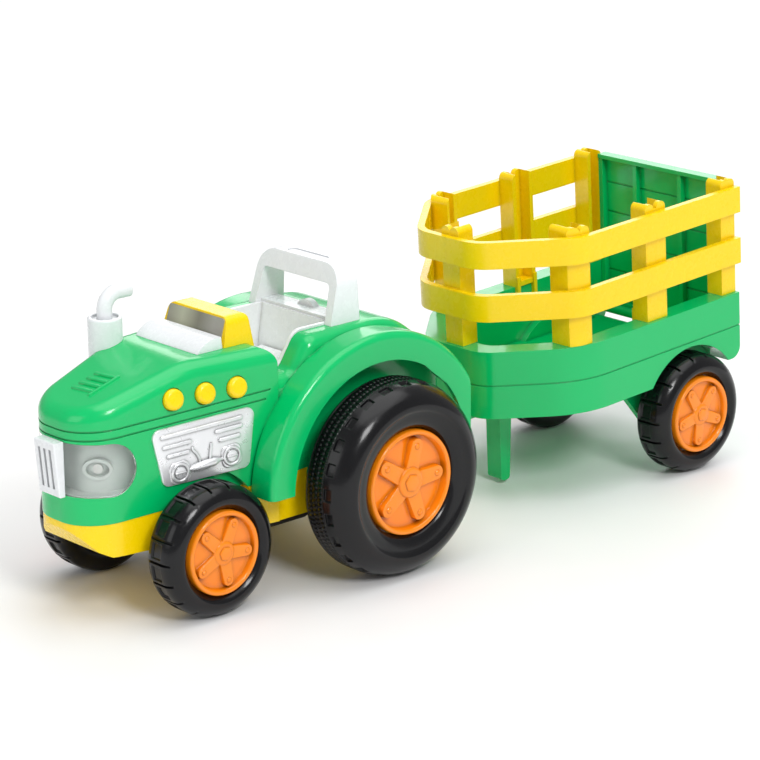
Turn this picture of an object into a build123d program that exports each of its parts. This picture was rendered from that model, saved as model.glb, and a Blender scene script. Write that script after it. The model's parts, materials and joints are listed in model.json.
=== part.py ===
from build123d import *
import math
import os

os.makedirs("parts", exist_ok=True)

# Toy tractor with a farm trailer. Millimetres, nose towards +X, left side +Y, up +Z.
# Every X below is measured from the rear axle of the tractor. The finished pieces are moved
# forward by ORIGIN_SHIFT, which puts the origin at the middle of the footprint, on the ground.
ORIGIN_SHIFT = 52.8543

# Wheels and axles
REAR_TYRE_R = 52.0
REAR_TYRE_INNER_Y = 51.0
REAR_TYRE_OUTER_Y = 82.0
REAR_HUB_R = 28.0
SMALL_TYRE_R = 34.4
SMALL_TYRE_W = 21.0
SMALL_HUB_R = 22.0
FRONT_AXLE_X = 106.2
FRONT_TYRE_INNER_Y = 36.5
TRAILER_AXLE_X = -235.5
TRAILER_TYRE_INNER_Y = 47.0
AXLE_R = 2.0
AXLE_BORE_R = 2.05
SPOKES = 5
SMALL_LUGS = 18
REAR_LUGS = 30

# Bonnet and cab
WALL = 2.0
NOSE_X = 167.0
NOSE_FLAT = 4.0
NOSE_R = 24.0
NOSE_TOP_Z = 108.8
HOOD_TOP_Z = 128.3
HOOD_LEVEL_X = 106.3
HOOD_BEND_R = 42.0
HOOD_END_X = 57.0
HOOD_END_HALF = 42.0
HOOD_EDGE_R = 9.0
CAB_HALF = 41.0
CAB_EDGE_R = 7.0
DECK_Z = 128.5
SILL_Z = 112.0
REAR_WALL_X = -58.0
WELL_HALF = 28.0
WELL_REAR_X = -3.0
SEAM_NOSE_Z = 52.6
LINE_RISE = 0.06
CHASSIS_BOTTOM_Z = 35.5

# Wheel arches
ARCH_R = 38.5
ARCH_WALL_Y = 34.5
FENDER_R = 75.0
FENDER_LIP_R = 60.0
FENDER_Y = 57.5
FENDER_T = 2.5
FENDER_REAR_X = -63.0

# Headlamp window and grille
WINDOW_LOW_Z = 67.0
WINDOW_HIGH_Z = 94.6
WINDOW_END_X = 138.0
LENS_T = 1.6
GRILLE_HALF = 8.5
GRILLE_FOOT_X = 170.5
GRILLE_HEAD_X = 173.0

# Exhaust on the right side of the bonnet, with a stem through the shell
EXHAUST_X = 110.5
EXHAUST_Y = -30.0
EXHAUST_R = 8.9
EXHAUST_TOP_Z = 140.3
EXHAUST_PIPE_R = 4.0
EXHAUST_STEM_Y = -26.5
EXHAUST_STEM_R = 3.5

# Buttons: their distance from the rear axle along the bonnet
BUTTON_XS = {"front": 117.0, "middle": 99.0, "rear": 81.0}
BUTTON_Z = 111.5
BUTTON_R = 5.5
BUTTON_TILT = 12.0
BUTTON_TRAVEL = 2.0
BUTTON_GAP = 0.35

# Trailer, drawn level and then tipped nose-down about its axle
TRAILER_PITCH = 3.4
TUB_FRONT_X = -107.0
TUB_FRONT_HALF = 22.0
TUB_SHOULDER_X = -149.0
TUB_FRONT_R = 19.0
TUB_SHOULDER_R = 50.0
FENCE_SHOULDER_R = 18.0
TUB_HALF = 60.0
TUB_REAR_X = -277.5
TUB_BOTTOM_Z = 57.0
TUB_FLOOR_Z = 62.5
TUB_RIM_Z = 95.7
TUB_BELT_Z = 75.8
RIM_W = 12.0
TUB_ARCH_R = 39.0
RAIL_H = 15.0
LOW_RAIL_Z = 113.5
HIGH_RAIL_Z = 143.5
RAIL_OUT = 1.5
POST_OUT = -2.5
POST_IN = -13.5
POST_TOP_Z = 163.3
RAIL_END_X = -277.6
LOBE_R = 3.4
FENCE_POSTS = ((-277.0, -265.5), (-219.5, -203.5), (-159.0, -145.5))
FRONT_POST_HALF = 6.6
CLIP_XS = (-218.2, -204.8)
GATE_HALF = 46.2
GATE_TOP_Z = 161.0
GATE_PIN_X = -275.0
GATE_PIN_Z = 66.5
GATE_OUTER_X = -280.5
GATE_SWING_R = 6.8
HITCH_X = -74.0
HITCH_PIN_R = 3.0
# The drawbar eye lands on the hitch pin once the trailer is tipped
EYE_X = -74.9
DRAWBAR_SCREW_XS = (-121.0, -157.0)

parts = {}


def keep(name, shape):
    """Stores a finished piece with the origin under the middle of the object."""
    parts[name] = shape.moved(Location((ORIGIN_SHIFT, 0, 0)))


def keep_tipped(name, shape):
    """Stores a trailer piece, tipped nose-down about the trailer axle."""
    axle = Axis((TRAILER_AXLE_X, 0, SMALL_TYRE_R), (0, 1, 0))
    keep(name, shape.rotate(axle, TRAILER_PITCH))


# ---------------------------------------------------------------- drawing helpers


def across(face, y_low, y_high):
    """Extrudes a side-view face (X, Z) from y_low to y_high."""
    return extrude(Plane.XZ.offset(-y_high) * face, amount=y_high - y_low)


def upward(face, z_low, z_high):
    """Extrudes a top-view face (X, Y) from z_low to z_high."""
    return extrude(Plane.XY.offset(z_low) * face, amount=z_high - z_low)


def along(face, x_low, x_high):
    """Extrudes a front-view face (Y, Z) from x_low to x_high."""
    return extrude(Plane.YZ.offset(x_low) * face, amount=x_high - x_low)


def block(x_low, x_high, y_low, y_high, z_low, z_high):
    """A box given by its limits."""
    middle = ((x_low + x_high) / 2, (y_low + y_high) / 2, (z_low + z_high) / 2)
    return Pos(*middle) * Box(x_high - x_low, y_high - y_low, z_high - z_low)


def rod(x, z, radius, y_low, y_high):
    """A cylinder that lies across the tractor."""
    return across(Pos(x, z) * Circle(radius), y_low, y_high)


def peg(x, y, radius, z_low, z_high):
    """An upright cylinder."""
    return upward(Pos(x, y) * Circle(radius), z_low, z_high)


def outline(*points):
    return make_face(Polyline(*points, close=True))


def soften(face, x, y, radius):
    """Rounds the corner of a face nearest to (x, y)."""
    corner = min(face.vertices(), key=lambda v: (v.X - x) ** 2 + (v.Y - y) ** 2)
    return fillet(corner, radius)


def mirrored(shape):
    return mirror(shape, about=Plane.XZ)


def both_sides(shape):
    return shape + mirrored(shape)


def seam_z(x):
    """Height of the joint between the green shell and the yellow chassis."""
    return SEAM_NOSE_Z + LINE_RISE * (163.0 - x)


# ---------------------------------------------------------------- bonnet plan

NOSE_CENTRE_X = NOSE_X - NOSE_R
_reach = math.hypot(HOOD_END_X - NOSE_CENTRE_X, HOOD_END_HALF - NOSE_FLAT)
_bearing = math.atan2(HOOD_END_HALF - NOSE_FLAT, HOOD_END_X - NOSE_CENTRE_X)
NOSE_SWING = _bearing - math.acos(NOSE_R / _reach)
TAPER = math.pi / 2 - NOSE_SWING


def nose_point(angle):
    """A point on the left nose arc, at an angle from straight ahead."""
    return (NOSE_CENTRE_X + NOSE_R * math.cos(angle), NOSE_FLAT + NOSE_R * math.sin(angle))


def side_half(x):
    """Half-width of the bonnet at x, behind the nose arc."""
    return HOOD_END_HALF - (x - HOOD_END_X) * math.tan(TAPER)


def hood_plan(shrink=0.0):
    """Top view of the bonnet: a round nose and sides that widen towards the cab."""
    start = (NOSE_X, NOSE_FLAT)
    end = nose_point(NOSE_SWING)
    back = (HOOD_END_X, HOOD_END_HALF)
    arc = ThreePointArc(start, nose_point(NOSE_SWING / 2), end)
    left = Curve() + [Line((NOSE_X, 0), start), arc, Line(end, back), Line(back, (HOOD_END_X, 0))]
    face = make_face((left + mirror(left, about=Plane.XZ)).edges())
    return offset(face, amount=-shrink) if shrink else face


def side_plane(x, z, tilt=0.0):
    """A plane on the left side of the bonnet, normal outwards, tilted up by tilt degrees."""
    rise = math.radians(tilt)
    outwards = Vector(math.sin(TAPER), math.cos(TAPER), 0) * math.cos(rise)
    normal = outwards + Vector(0, 0, 1) * math.sin(rise)
    rearward = Vector(-math.cos(TAPER), math.sin(TAPER), 0)
    return Plane(origin=(x, side_half(x), z), x_dir=rearward, z_dir=normal)


# ---------------------------------------------------------------- body shell and chassis


def hood_form(shrink=0.0, drop=0.0):
    """The bonnet as a solid form. shrink insets it, drop lowers its bottom."""
    front = NOSE_X + 4
    back = HOOD_END_X - 3
    side = outline(
        (front, seam_z(front) - drop),
        (front, NOSE_TOP_Z),
        (HOOD_LEVEL_X, HOOD_TOP_Z),
        (back, HOOD_TOP_Z),
        (back, seam_z(back) - drop),
    )
    side = soften(side, HOOD_LEVEL_X, HOOD_TOP_Z, HOOD_BEND_R)
    if shrink:
        side = offset(side, amount=-shrink)
    form = across(side, -60, 60) & upward(hood_plan(shrink), 20, 150)
    rim = [e for e in form.edges() if e.center().Z > 104]
    rim = [e for e in rim if abs(e.center().Y) > 1 or not 60 < e.center().X < 150]
    return fillet(rim, HOOD_EDGE_R - shrink)


def cab_form(shrink=0.0, drop=0.0):
    """The cab as a solid form: sill, shoulders beside the seat, deck and sloping tail."""
    front = HOOD_END_X + 1
    side = outline(
        (front, seam_z(front) - drop),
        (front, SILL_Z),
        (45, SILL_Z),
        (34, DECK_Z),
        (-25, DECK_Z),
        (REAR_WALL_X, 103),
        (REAR_WALL_X, seam_z(REAR_WALL_X) - drop),
    )
    for x, z, radius in ((45, SILL_Z, 6), (34, DECK_Z, 9), (-25, DECK_Z, 40), (REAR_WALL_X, 103, 10)):
        side = soften(side, x, z, radius)
    if shrink:
        side = offset(side, amount=-shrink)
    form = across(side, shrink - CAB_HALF, CAB_HALF - shrink)
    shoulder = [e for e in form.edges() if abs(e.center().Y) > 30 and e.center().Z > 90]
    shoulder = [e for e in shoulder if e.center().X < HOOD_END_X - 1.5]
    return fillet(shoulder, CAB_EDGE_R - shrink)


def front_arches(radius, wall_y):
    """The two spaces that the front wheels run in."""
    return both_sides(rod(FRONT_AXLE_X, SMALL_TYRE_R, radius, wall_y, HOOD_END_HALF + 20))


def window_tool(inset=0.0):
    """The wrap-round headlamp window, as a tool that passes through the whole nose."""
    radius = (WINDOW_HIGH_Z - WINDOW_LOW_Z) / 2
    middle = (WINDOW_HIGH_Z + WINDOW_LOW_Z) / 2
    arc_x = WINDOW_END_X + radius
    face = Pos(arc_x, middle) * Circle(radius - inset)
    face += Pos((arc_x + 190) / 2, middle) * Rectangle(190 - arc_x, 2 * (radius - inset))
    return across(face, -60, 60)


def fender():
    """The left rear wheel arch: a band over the wheel with a deep lip on its outer side."""
    band = rod(0, REAR_TYRE_R, FENDER_R, CAB_HALF - 0.2, FENDER_Y)
    band = fillet(band.edges().filter_by(GeomType.CIRCLE).sort_by(Axis.Y)[-1], 4.0)
    lip_inner_y = FENDER_Y - FENDER_T
    band -= rod(0, REAR_TYRE_R, FENDER_R - FENDER_T, 0, lip_inner_y)
    band -= rod(0, REAR_TYRE_R, FENDER_LIP_R, 0, FENDER_Y + 5)
    flap = across(outline((-30, 104), (-37, 98), (-63, 77), (-63, 100)), lip_inner_y, FENDER_Y)
    band += flap & rod(0, REAR_TYRE_R, FENDER_R - 4, 0, 100)
    band -= block(-100, 100, 0, 100, -30, REAR_TYRE_R + 1.5)
    band -= block(-100, FENDER_REAR_X, 0, 100, -30, 200)
    return band


def button_spaces(radius, inner, outer):
    """Cylinders on the three button axes, from inner to outer along their outward normals."""
    spaces = Part()
    for x in BUTTON_XS.values():
        plane = side_plane(x, BUTTON_Z, BUTTON_TILT)
        spaces += extrude(plane.offset(inner) * Circle(radius), amount=outer - inner)
    return spaces


def bonnet_grooves():
    """Two shallow lines round the bonnet, rising a little towards the cab."""
    front = 190
    grooves = Part()
    for nose_z, end_x in ((95.9, 64.0), (100.3, 61.5)):
        low = nose_z - LINE_RISE * (front - 165)
        high = nose_z + LINE_RISE * (165 - end_x)
        line = outline((front, low), (front, low + 0.9), (end_x, high + 0.9), (end_x, high))
        grooves += across(line, -60, 60)
    return grooves - upward(hood_plan(0.7), 60, 140)


# Screw posts: x, y and the height where each one joins the shell
SCREW_POSTS = ((118.0, 25.5, 72.0), (-46.0, 26.0, 111.5))
SCREW_POST_R = 4.0
SCREW_R = 1.5


def shell_posts():
    """Hollow posts inside the shell that the chassis screws bite into."""
    posts = Part()
    for x, y, top in SCREW_POSTS:
        posts += both_sides(peg(x, y, SCREW_POST_R, seam_z(x) + 0.3, top) - peg(x, y, SCREW_R, 50, 68))
    front_x, front_y, front_top = SCREW_POSTS[0]
    rib = block(front_x - 1, front_x + 1, front_y + 3, side_half(front_x) - 1, 60, front_top)
    return posts + both_sides(rib)


def board_posts():
    """Two pins behind the left side of the bonnet that carry the switch board."""
    middle = side_plane(BUTTON_XS["middle"], BUTTON_Z, BUTTON_TILT)
    posts = Part()
    for reach in (-27.3, 27.3):
        posts += extrude(middle.offset(-13.0) * Pos(reach, 0) * Circle(1.4), amount=12.0)
    return posts


def body_shell():
    """The green bonnet, cab and rear wheel arches, one moulding, open below."""
    shell = hood_form() + cab_form()
    hollow = hood_form(WALL, 14.0) + cab_form(WALL, 14.0)
    hollow += block(50, 66, 4 - CAB_HALF, CAB_HALF - 4, 40, SILL_Z - WALL)
    hollow -= front_arches(ARCH_R + WALL, ARCH_WALL_Y - WALL)
    shell -= hollow
    shell -= front_arches(ARCH_R, ARCH_WALL_Y)
    shell += both_sides(fender() - lower_form())
    shell -= block(WELL_REAR_X, HOOD_END_X, -WELL_HALF, WELL_HALF, 100, 140)
    shell -= window_tool()
    shell -= button_spaces(BUTTON_R + BUTTON_GAP, -6, 12)
    shell -= bonnet_grooves()
    shell -= peg(EXHAUST_X, EXHAUST_STEM_Y, EXHAUST_STEM_R, 100, 140)
    shell -= both_sides(block(-6.7, 13.3, 27.9, 33.0, 120, 140))
    return shell + shell_posts() + board_posts()


def lower_form(shrink=0.0, lift=0.0):
    """The yellow lower chassis as a solid form, up to the seam."""
    nose = NOSE_X + 1
    side = outline(
        (REAR_WALL_X + 0.3, CHASSIS_BOTTOM_Z),
        (152, CHASSIS_BOTTOM_Z),
        (158, 38.5),
        (nose, seam_z(nose) - 2),
        (nose, seam_z(nose) + lift),
        (REAR_WALL_X + 0.3, seam_z(REAR_WALL_X + 0.3) + lift),
    )
    if shrink:
        side = offset(side, amount=-shrink)
    nose_part = across(side, -60, 60) & upward(hood_plan(0.3 + shrink), 20, 100)
    half = CAB_HALF - 0.3 - shrink
    tail = across(side, -half, half) & block(-80, HOOD_END_X + 1 + shrink, -half, half, 20, 100)
    return nose_part + tail


BATTERY_X = (24.0, 78.0)
BATTERY_HALF = 25.0
BATTERY_TOP_Z = 54.0
BELLY_Z = 25.0
BATTERY_SCREW_X = 73.0
SWITCH_X = 90.0
SPEAKER_X = -31.0


def lower_chassis():
    """Yellow tray under the tractor, with axle bearings, battery box and hitch tongue."""
    tray = lower_form() - front_arches(ARCH_R, ARCH_WALL_Y)
    hollow = lower_form(WALL, 12.0) - front_arches(ARCH_R + WALL, ARCH_WALL_Y - WALL)
    tray -= hollow
    x_low, x_high = BATTERY_X
    floor_z = CHASSIS_BOTTOM_Z
    box = block(x_low - 2, x_high + 2, -BATTERY_HALF - 2, BATTERY_HALF + 2, floor_z, BATTERY_TOP_Z + 2)
    tray += box
    tray -= block(x_low, x_high, -BATTERY_HALF, BATTERY_HALF, floor_z - 1, BATTERY_TOP_Z)
    tray += rod(FRONT_AXLE_X, SMALL_TYRE_R, 7.5, -36, 36)
    tray += rod(0, REAR_TYRE_R, 8.0, -50, 50)
    tray += block(-84, REAR_WALL_X + 1, -9, 9, 36, 40.5)
    tray += peg(HITCH_X, 0, 9, 36, 40.5)
    tray -= rod(FRONT_AXLE_X, SMALL_TYRE_R, AXLE_BORE_R, -60, 60)
    tray -= rod(0, REAR_TYRE_R, AXLE_BORE_R, -60, 60)
    tray -= peg(HITCH_X, 0, HITCH_PIN_R, 30, 45)
    for x, y, _ in SCREW_POSTS:
        tray += both_sides(peg(x, y, SCREW_POST_R, floor_z, seam_z(x) + 0.3))
        tray -= both_sides(peg(x, y, SCREW_R + 0.1, 30, 70) + peg(x, y, 2.8, 30, 40))
    tray -= block(SWITCH_X - 2.2, SWITCH_X + 2.2, -6, 6, 30, 40)
    for ring in range(2):
        for step in range(6 * (ring + 1)):
            angle = 2 * math.pi * step / (6 * (ring + 1))
            reach = 5.0 * (ring + 1)
            tray -= peg(SPEAKER_X + reach * math.cos(angle), reach * math.sin(angle), 1.1, 30, 40)
    return tray


def battery_cover():
    """Black hatch under the cells: a deep open-topped tray that hangs below the chassis."""
    x_low, x_high = BATTERY_X
    gap = 0.2
    half = BATTERY_HALF - gap
    lid = fillet(block(x_low + gap, x_high - gap, -half, half, BELLY_Z, 37.5).edges().group_by(Axis.Z)[0], 2.5)
    lid -= block(x_low + WALL, x_high - WALL, WALL - half, half - WALL, BELLY_Z + WALL, 40)
    lid += peg(BATTERY_SCREW_X, 0, 3.5, BELLY_Z + 1, 37.5)
    return lid - peg(BATTERY_SCREW_X, 0, 1.6, 20, 40)


def battery_screw():
    return peg(BATTERY_SCREW_X, 0, 1.5, BELLY_Z + 0.5, 38.0)


def cells():
    """Three AA cells side by side along the tractor."""
    group = Part()
    for y in (-15.4, 0.0, 15.4):
        lying = Plane(origin=(25.6, y, 45.3), z_dir=(1, 0, 0))
        group += extrude(lying * Circle(7.1), amount=49.1)
        group += extrude(lying.offset(49.1) * Circle(2.7), amount=1.4)
    return group


def battery_contacts():
    """Two strips of sprung contacts at the ends of the cells."""
    strips = Part()
    for y in (-15.4, 0.0, 15.4):
        strips += block(24.0, 25.6, y - 5.5, y + 5.5, 39.5, 51)
        strips += block(76.1, 78.0, y - 5.5, y + 5.5, 39.5, 51)
    return strips


def circuit_board():
    board = block(22, 80, -22, 22, BATTERY_TOP_Z + 2, BATTERY_TOP_Z + 3.6)
    board += block(30, 42, -6, 6, BATTERY_TOP_Z + 3.6, BATTERY_TOP_Z + 5.6)
    return board + peg(60, 8, 4, BATTERY_TOP_Z + 3.6, BATTERY_TOP_Z + 9)


def speaker():
    low = CHASSIS_BOTTOM_Z + WALL
    cone = peg(SPEAKER_X, 0, 18, low, low + 4)
    return cone + peg(SPEAKER_X, 0, 10, low + 4, low + 10)


def switch_body():
    low = CHASSIS_BOTTOM_Z + WALL
    return block(SWITCH_X - 4, SWITCH_X + 4, -8, 8, low + 0.3, low + 6) - block(
        SWITCH_X - 2.3, SWITCH_X + 2.3, -6.3, 6.3, low, low + 3.4
    )


def switch_knob():
    """The power slider, at one end of its slot."""
    return block(SWITCH_X - 1.9, SWITCH_X + 1.9, -5.6, -0.6, 34.3, 40.4)


def chassis_screws():
    """Screws that hold the chassis to the shell."""
    screws = Part()
    for x, y, _ in SCREW_POSTS:
        screws += both_sides(peg(x, y, SCREW_R, 39, 67.5) + peg(x, y, 2.7, 37, 40))
    return screws


def hitch_pin():
    """The upright pin that the drawbar turns on, with a domed head."""
    pin = peg(HITCH_X, 0, HITCH_PIN_R, 36.2, 52.5)
    return fillet(pin.edges().sort_by(Axis.Z)[-1], 1.2)


# ---------------------------------------------------------------- nose: lens, lamps, grille


def nose_wall(outer, inner, z_low, z_high, x_rear):
    """A wall that follows the nose between two insets, ahead of x_rear."""
    ring = upward(hood_plan(outer), z_low, z_high) - upward(hood_plan(inner), z_low - 1, z_high + 1)
    return ring & block(x_rear, 200, -60, 60, z_low, z_high)


def headlamp_lens():
    """The clear band that wraps round the nose."""
    wall = nose_wall(0.15, 0.15 + LENS_T, WINDOW_LOW_Z, WINDOW_HIGH_Z, 100)
    return wall & window_tool(0.1)


LAMP_R = 2.5


def lamp_plane(side):
    """A plane at the lamp of one side, looking forward and outward through the lens."""
    outward = (1, side, 0)
    return Plane(origin=(151.5, 15.5 * side, 80), x_dir=(-1, side, 0), z_dir=outward)


def headlamp_reflector():
    """The pale wall behind the lens with an oval lamp ring on each side."""
    wall = nose_wall(9.0, 10.5, WINDOW_LOW_Z + 0.4, WINDOW_HIGH_Z + 2, 132)
    for side in (1, -1):
        plane = lamp_plane(side)
        wall += extrude(plane * (Ellipse(7.5, 5.5) - Ellipse(5.8, 3.8)), amount=3.2)
        wall -= extrude(plane.offset(-4) * Circle(LAMP_R), amount=6.0)
    return wall


def headlamp_base():
    """The cream plate that the lamps and reflector stand on."""
    plate = upward(hood_plan(WALL), WINDOW_LOW_Z - 1.6, WINDOW_LOW_Z + 0.4)
    return plate & block(124, 200, -60, 60, 0, 100)


def lamps():
    """Two light-emitting diodes, one behind each lamp ring."""
    group = Part()
    for side in (1, -1):
        group += extrude(lamp_plane(side).offset(-4) * Circle(LAMP_R), amount=6.0)
    return group


def grille():
    """White slab on the nose with three upright slots, leaning back at the foot."""
    side = outline(
        (NOSE_X + 0.1, WINDOW_LOW_Z - 0.5),
        (GRILLE_FOOT_X, WINDOW_LOW_Z - 0.5),
        (GRILLE_HEAD_X, WINDOW_HIGH_Z + 0.5),
        (NOSE_X + 0.1, WINDOW_HIGH_Z + 0.5),
    )
    slab = across(side, -GRILLE_HALF, GRILLE_HALF)
    slab = fillet(slab.edges().sort_by(Axis.X)[-5:], 0.8)
    for y in (-4.4, 0.0, 4.4):
        slab -= block(NOSE_X + 1.6, 180, y - 0.9, y + 0.9, WINDOW_LOW_Z + 3.5, WINDOW_HIGH_Z - 3.5)
    return slab


# ---------------------------------------------------------------- bonnet: panels, buttons, dash

PANEL_X = (128.0, 73.0)
PANEL_Z = (66.6, 98.6)


def engine_panel():
    """Silver plate on the left side: relief of an engine with two round ports."""
    x_mid = sum(PANEL_X) / 2
    plane = side_plane(x_mid, 0)
    half = (PANEL_X[0] - PANEL_X[1]) / 2 / math.cos(TAPER)
    plate = outline(
        (-half - 3.2, 96.9),
        (half + 2.0, 100.4),
        (half - 1.5, 68.6),
        (-half + 4.0, 66.8),
    )
    plate = fillet(plate.vertices(), 4.0)
    panel = extrude(plane * plate, amount=1.4)
    relief = Part()
    for reach, height, width in ((-1.0, 95.6, 46), (-17.0, 90.4, 17), (-16.5, 86.2, 17), (18.0, 92.0, 14), (18.0, 88.0, 14)):
        bar = Pos(reach, height) * Rot(0, 0, 3.4) * SlotOverall(width, 1.6)
        relief += extrude(plane.offset(1.4) * bar, amount=0.8)
    for reach, height in ((-14.0, 76.0), (15.0, 78.0)):
        port = Pos(reach, height) * (Circle(5.2) - Circle(3.8)) + Pos(reach, height) * Rectangle(7.6, 0.9)
        relief += extrude(plane.offset(1.4) * port, amount=1.1)
    relief += extrude(plane.offset(1.4) * (Pos(0.5, 77.2) * Rot(0, 0, 4) * SlotOverall(15, 4.6)), amount=1.4)
    return panel + relief


def button(x):
    """A domed push button with a flange behind the shell and a stem for the switch."""
    plane = side_plane(x, BUTTON_Z, BUTTON_TILT)
    cap = extrude(plane.offset(-4.4) * Circle(BUTTON_R), amount=7.6)
    cap = fillet(cap.edges().filter_by(GeomType.CIRCLE).sort_by(Axis.Y)[-1], 2.4)
    flange = extrude(plane.offset(-5.8) * Circle(BUTTON_R + 1.3), amount=1.6)
    return cap + flange + extrude(plane.offset(-7.9) * Circle(1.8), amount=3.0)


def button_pad():
    """The rubber mat with one dome under each button."""
    middle = side_plane(BUTTON_XS["middle"], BUTTON_Z, BUTTON_TILT)
    mat = extrude(middle.offset(-13.0) * Rectangle(50, 10), amount=1.2)
    for x in BUTTON_XS.values():
        dome = side_plane(x, BUTTON_Z, BUTTON_TILT)
        mat += extrude(dome.offset(-12.2) * Circle(3.2), amount=2.0)
    return mat


def button_board():
    """The switch board under the rubber mat."""
    middle = side_plane(BUTTON_XS["middle"], BUTTON_Z, BUTTON_TILT)
    return extrude(middle.offset(-14.6) * Rectangle(58, 12), amount=1.6)


def exhaust():
    """White silencer can and a bent tail pipe on the right side of the bonnet."""
    x, y = EXHAUST_X, EXHAUST_Y
    can = peg(x, y, EXHAUST_R, 118.0, EXHAUST_TOP_Z)
    can = fillet(can.edges().sort_by(Axis.Z)[-1], 1.0)
    can -= peg(x, y, EXHAUST_R - 1.8, EXHAUST_TOP_Z - 1.2, EXHAUST_TOP_Z + 1)
    can -= hood_form()
    can += peg(x, EXHAUST_STEM_Y, EXHAUST_STEM_R, 117.0, 128.0)
    foot = EXHAUST_TOP_Z - 1.2
    bend = ThreePointArc((x, y, 144.0), (x - 2.6, y, 149.6), (x - 8.8, y, 152.0))
    path = Line((x, y, foot), (x, y, 144.0)) + bend + Line((x - 8.8, y, 152.0), (x - 15.5, y, 152.0))
    pipe = sweep(Plane(origin=(x, y, foot), z_dir=(0, 0, 1)) * Circle(EXHAUST_PIPE_R), path=Wire(path.edges()))
    mouth = Plane(origin=(x - 15.5, y, 152.0), z_dir=(1, 0, 0))
    return can + pipe - extrude(mouth * Circle(EXHAUST_PIPE_R - 1.2), amount=5.0)


def windscreen_cowl():
    """White wedge across the bonnet in front of the dash block."""
    side = make_face(
        Curve()
        + [
            Line((78.6, 127.0), (96.0, 127.0)),
            ThreePointArc((96.0, 127.0), (91.0, 132.0), (83.0, 134.6)),
            Line((83.0, 134.6), (79.4, 134.6)),
            Line((79.4, 134.6), (78.6, 127.0)),
        ]
    )
    wedge = across(side, -25.0, 25.0)
    wedge -= hood_form()
    return wedge


def dash_block():
    """Yellow block behind the cowl: its front leans back and holds the windscreen label."""
    side = outline((57.8, 118.0), (78.4, 118.0), (78.4, 127.0), (73.6, 143.2), (60.4, 143.2))
    side = soften(side, 60.4, 143.2, 2.5)
    front = outline((-27, 118.0), (27, 118.0), (23, 143.2), (-23, 143.2))
    front = soften(soften(front, -23, 143.2, 5), 23, 143.2, 5)
    body = across(side, -40, 40) & along(front, 50, 90)
    return body - hood_form()


def windscreen_label():
    """Shiny dark plate on the sloping front of the dash block."""
    run = 78.4 - 73.6
    rise = 143.2 - 127.0
    label_z = 136.9
    label_x = 78.4 - run * (label_z - 127.0) / rise
    plane = Plane(origin=(label_x, 0, label_z), x_dir=(0, 1, 0), z_dir=(rise, 0, run))
    return extrude(plane * RectangleRounded(44.0, 11.0, 1.6), amount=0.7)


# ---------------------------------------------------------------- seat and handle


def seat():
    """White bucket: S-curved side walls, a low cushion, a back and a ledge behind it."""
    side = outline((55.5, 101), (55.5, 113.2), (44.2, 113.2), (33.4, 129.6), (9, 129.6), (9, 131.2), (-2.6, 131.2), (-2.6, 101))
    side = soften(side, 44.2, 113.2, 6)
    side = soften(side, 33.4, 129.6, 9)
    pan = across(side, 0.3 - WELL_HALF, WELL_HALF - 0.3)
    inside = outline((53.6, 103), (53.6, 140), (8.5, 140), (14, 106), (18, 103))
    pan -= across(inside, -25.6, 25.6)
    pan -= block(-0.6, 6.5, -25.6, 25.6, 90, 129.2)
    cushion = outline((16, 103), (15, 108), (22, 107), (40, 108.5), (43, 106), (43, 103))
    pan += across(cushion, -21, 21)
    head = Plane(origin=(-2.0, 0, 126.5), x_dir=(0, 1, 0), z_dir=(1, 0, 0)) * Circle(8.0)
    return pan + (extrude(head, amount=4.0) & block(-10, 10, -20, 20, 131.0, 140))


def carry_handle():
    """White handle over the seat: two broad legs and a top bar, with a finger recess."""
    front = outline((-33.0, 118), (-33.0, 128), (-31.2, 158.9), (31.2, 158.9), (33.0, 128), (33.0, 118))
    front = soften(soften(front, -31.2, 158.9, 12), 31.2, 158.9, 12)
    gap = outline((-28.0, 110), (-28.0, 128), (-26.2, 149), (26.2, 149), (28.0, 128), (28.0, 110))
    gap = soften(soften(gap, -26.2, 149, 3), 26.2, 149, 3)
    frame = along(front - gap, -20, 30)
    side = outline((13.3, 110), (13.3, 129), (5.2, 158), (4.5, 160), (-5.2, 160), (-6.2, 158), (-6.7, 129), (-6.7, 110))
    frame &= across(side, -40, 40)
    recess = upward(Pos(-0.4, 0) * Rot(0, 0, 90) * SlotOverall(30, 6.4), 158.3, 162)
    return frame - recess


# ---------------------------------------------------------------- wheels


def wheel_place(shape, x, z, side):
    """Puts a wheel that was drawn round the Y axis at its axle, on the left or right side."""
    placed = Pos(x, 0, z) * shape
    return placed if side > 0 else mirrored(placed)


def turned(profile):
    """Turns a (radius, Y) profile round the Y axis."""
    return revolve(profile, axis=Axis.Y)


def tyre(radius, bore, inner, outer, shoulder, lugs, lug_depth):
    """A solid tyre with one flat tread band, a round outer shoulder and cross grooves."""
    edge = 3.0
    shoulder_x = radius - shoulder
    shoulder_y = outer - shoulder
    curve = Curve() + [
        Line((bore, inner + 1.5), (bore + 4, inner)),
        Line((bore + 4, inner), (radius - edge, inner)),
        ThreePointArc(
            (radius - edge, inner),
            (radius - edge * (1 - math.sqrt(0.5)), inner + edge * (1 - math.sqrt(0.5))),
            (radius, inner + edge),
        ),
        Line((radius, inner + edge), (radius, shoulder_y)),
        ThreePointArc(
            (radius, shoulder_y),
            (shoulder_x + shoulder * math.sqrt(0.5), shoulder_y + shoulder * math.sqrt(0.5)),
            (shoulder_x, outer),
        ),
        Line((shoulder_x, outer), (bore + 2.5, outer - 0.4)),
        Line((bore + 2.5, outer - 0.4), (bore, outer - 2.2)),
        Line((bore, outer - 2.2), (bore, inner + 1.5)),
    ]
    body = turned(make_face(curve))
    width = math.pi * radius / lugs
    groove = block(radius - lug_depth, radius + 5, inner + 4.5, shoulder_y, -width / 2, width / 2)
    grooves = Part()
    for step in range(lugs):
        grooves += groove.rotate(Axis.Y, 360 / lugs * step)
    return body - grooves


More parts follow.
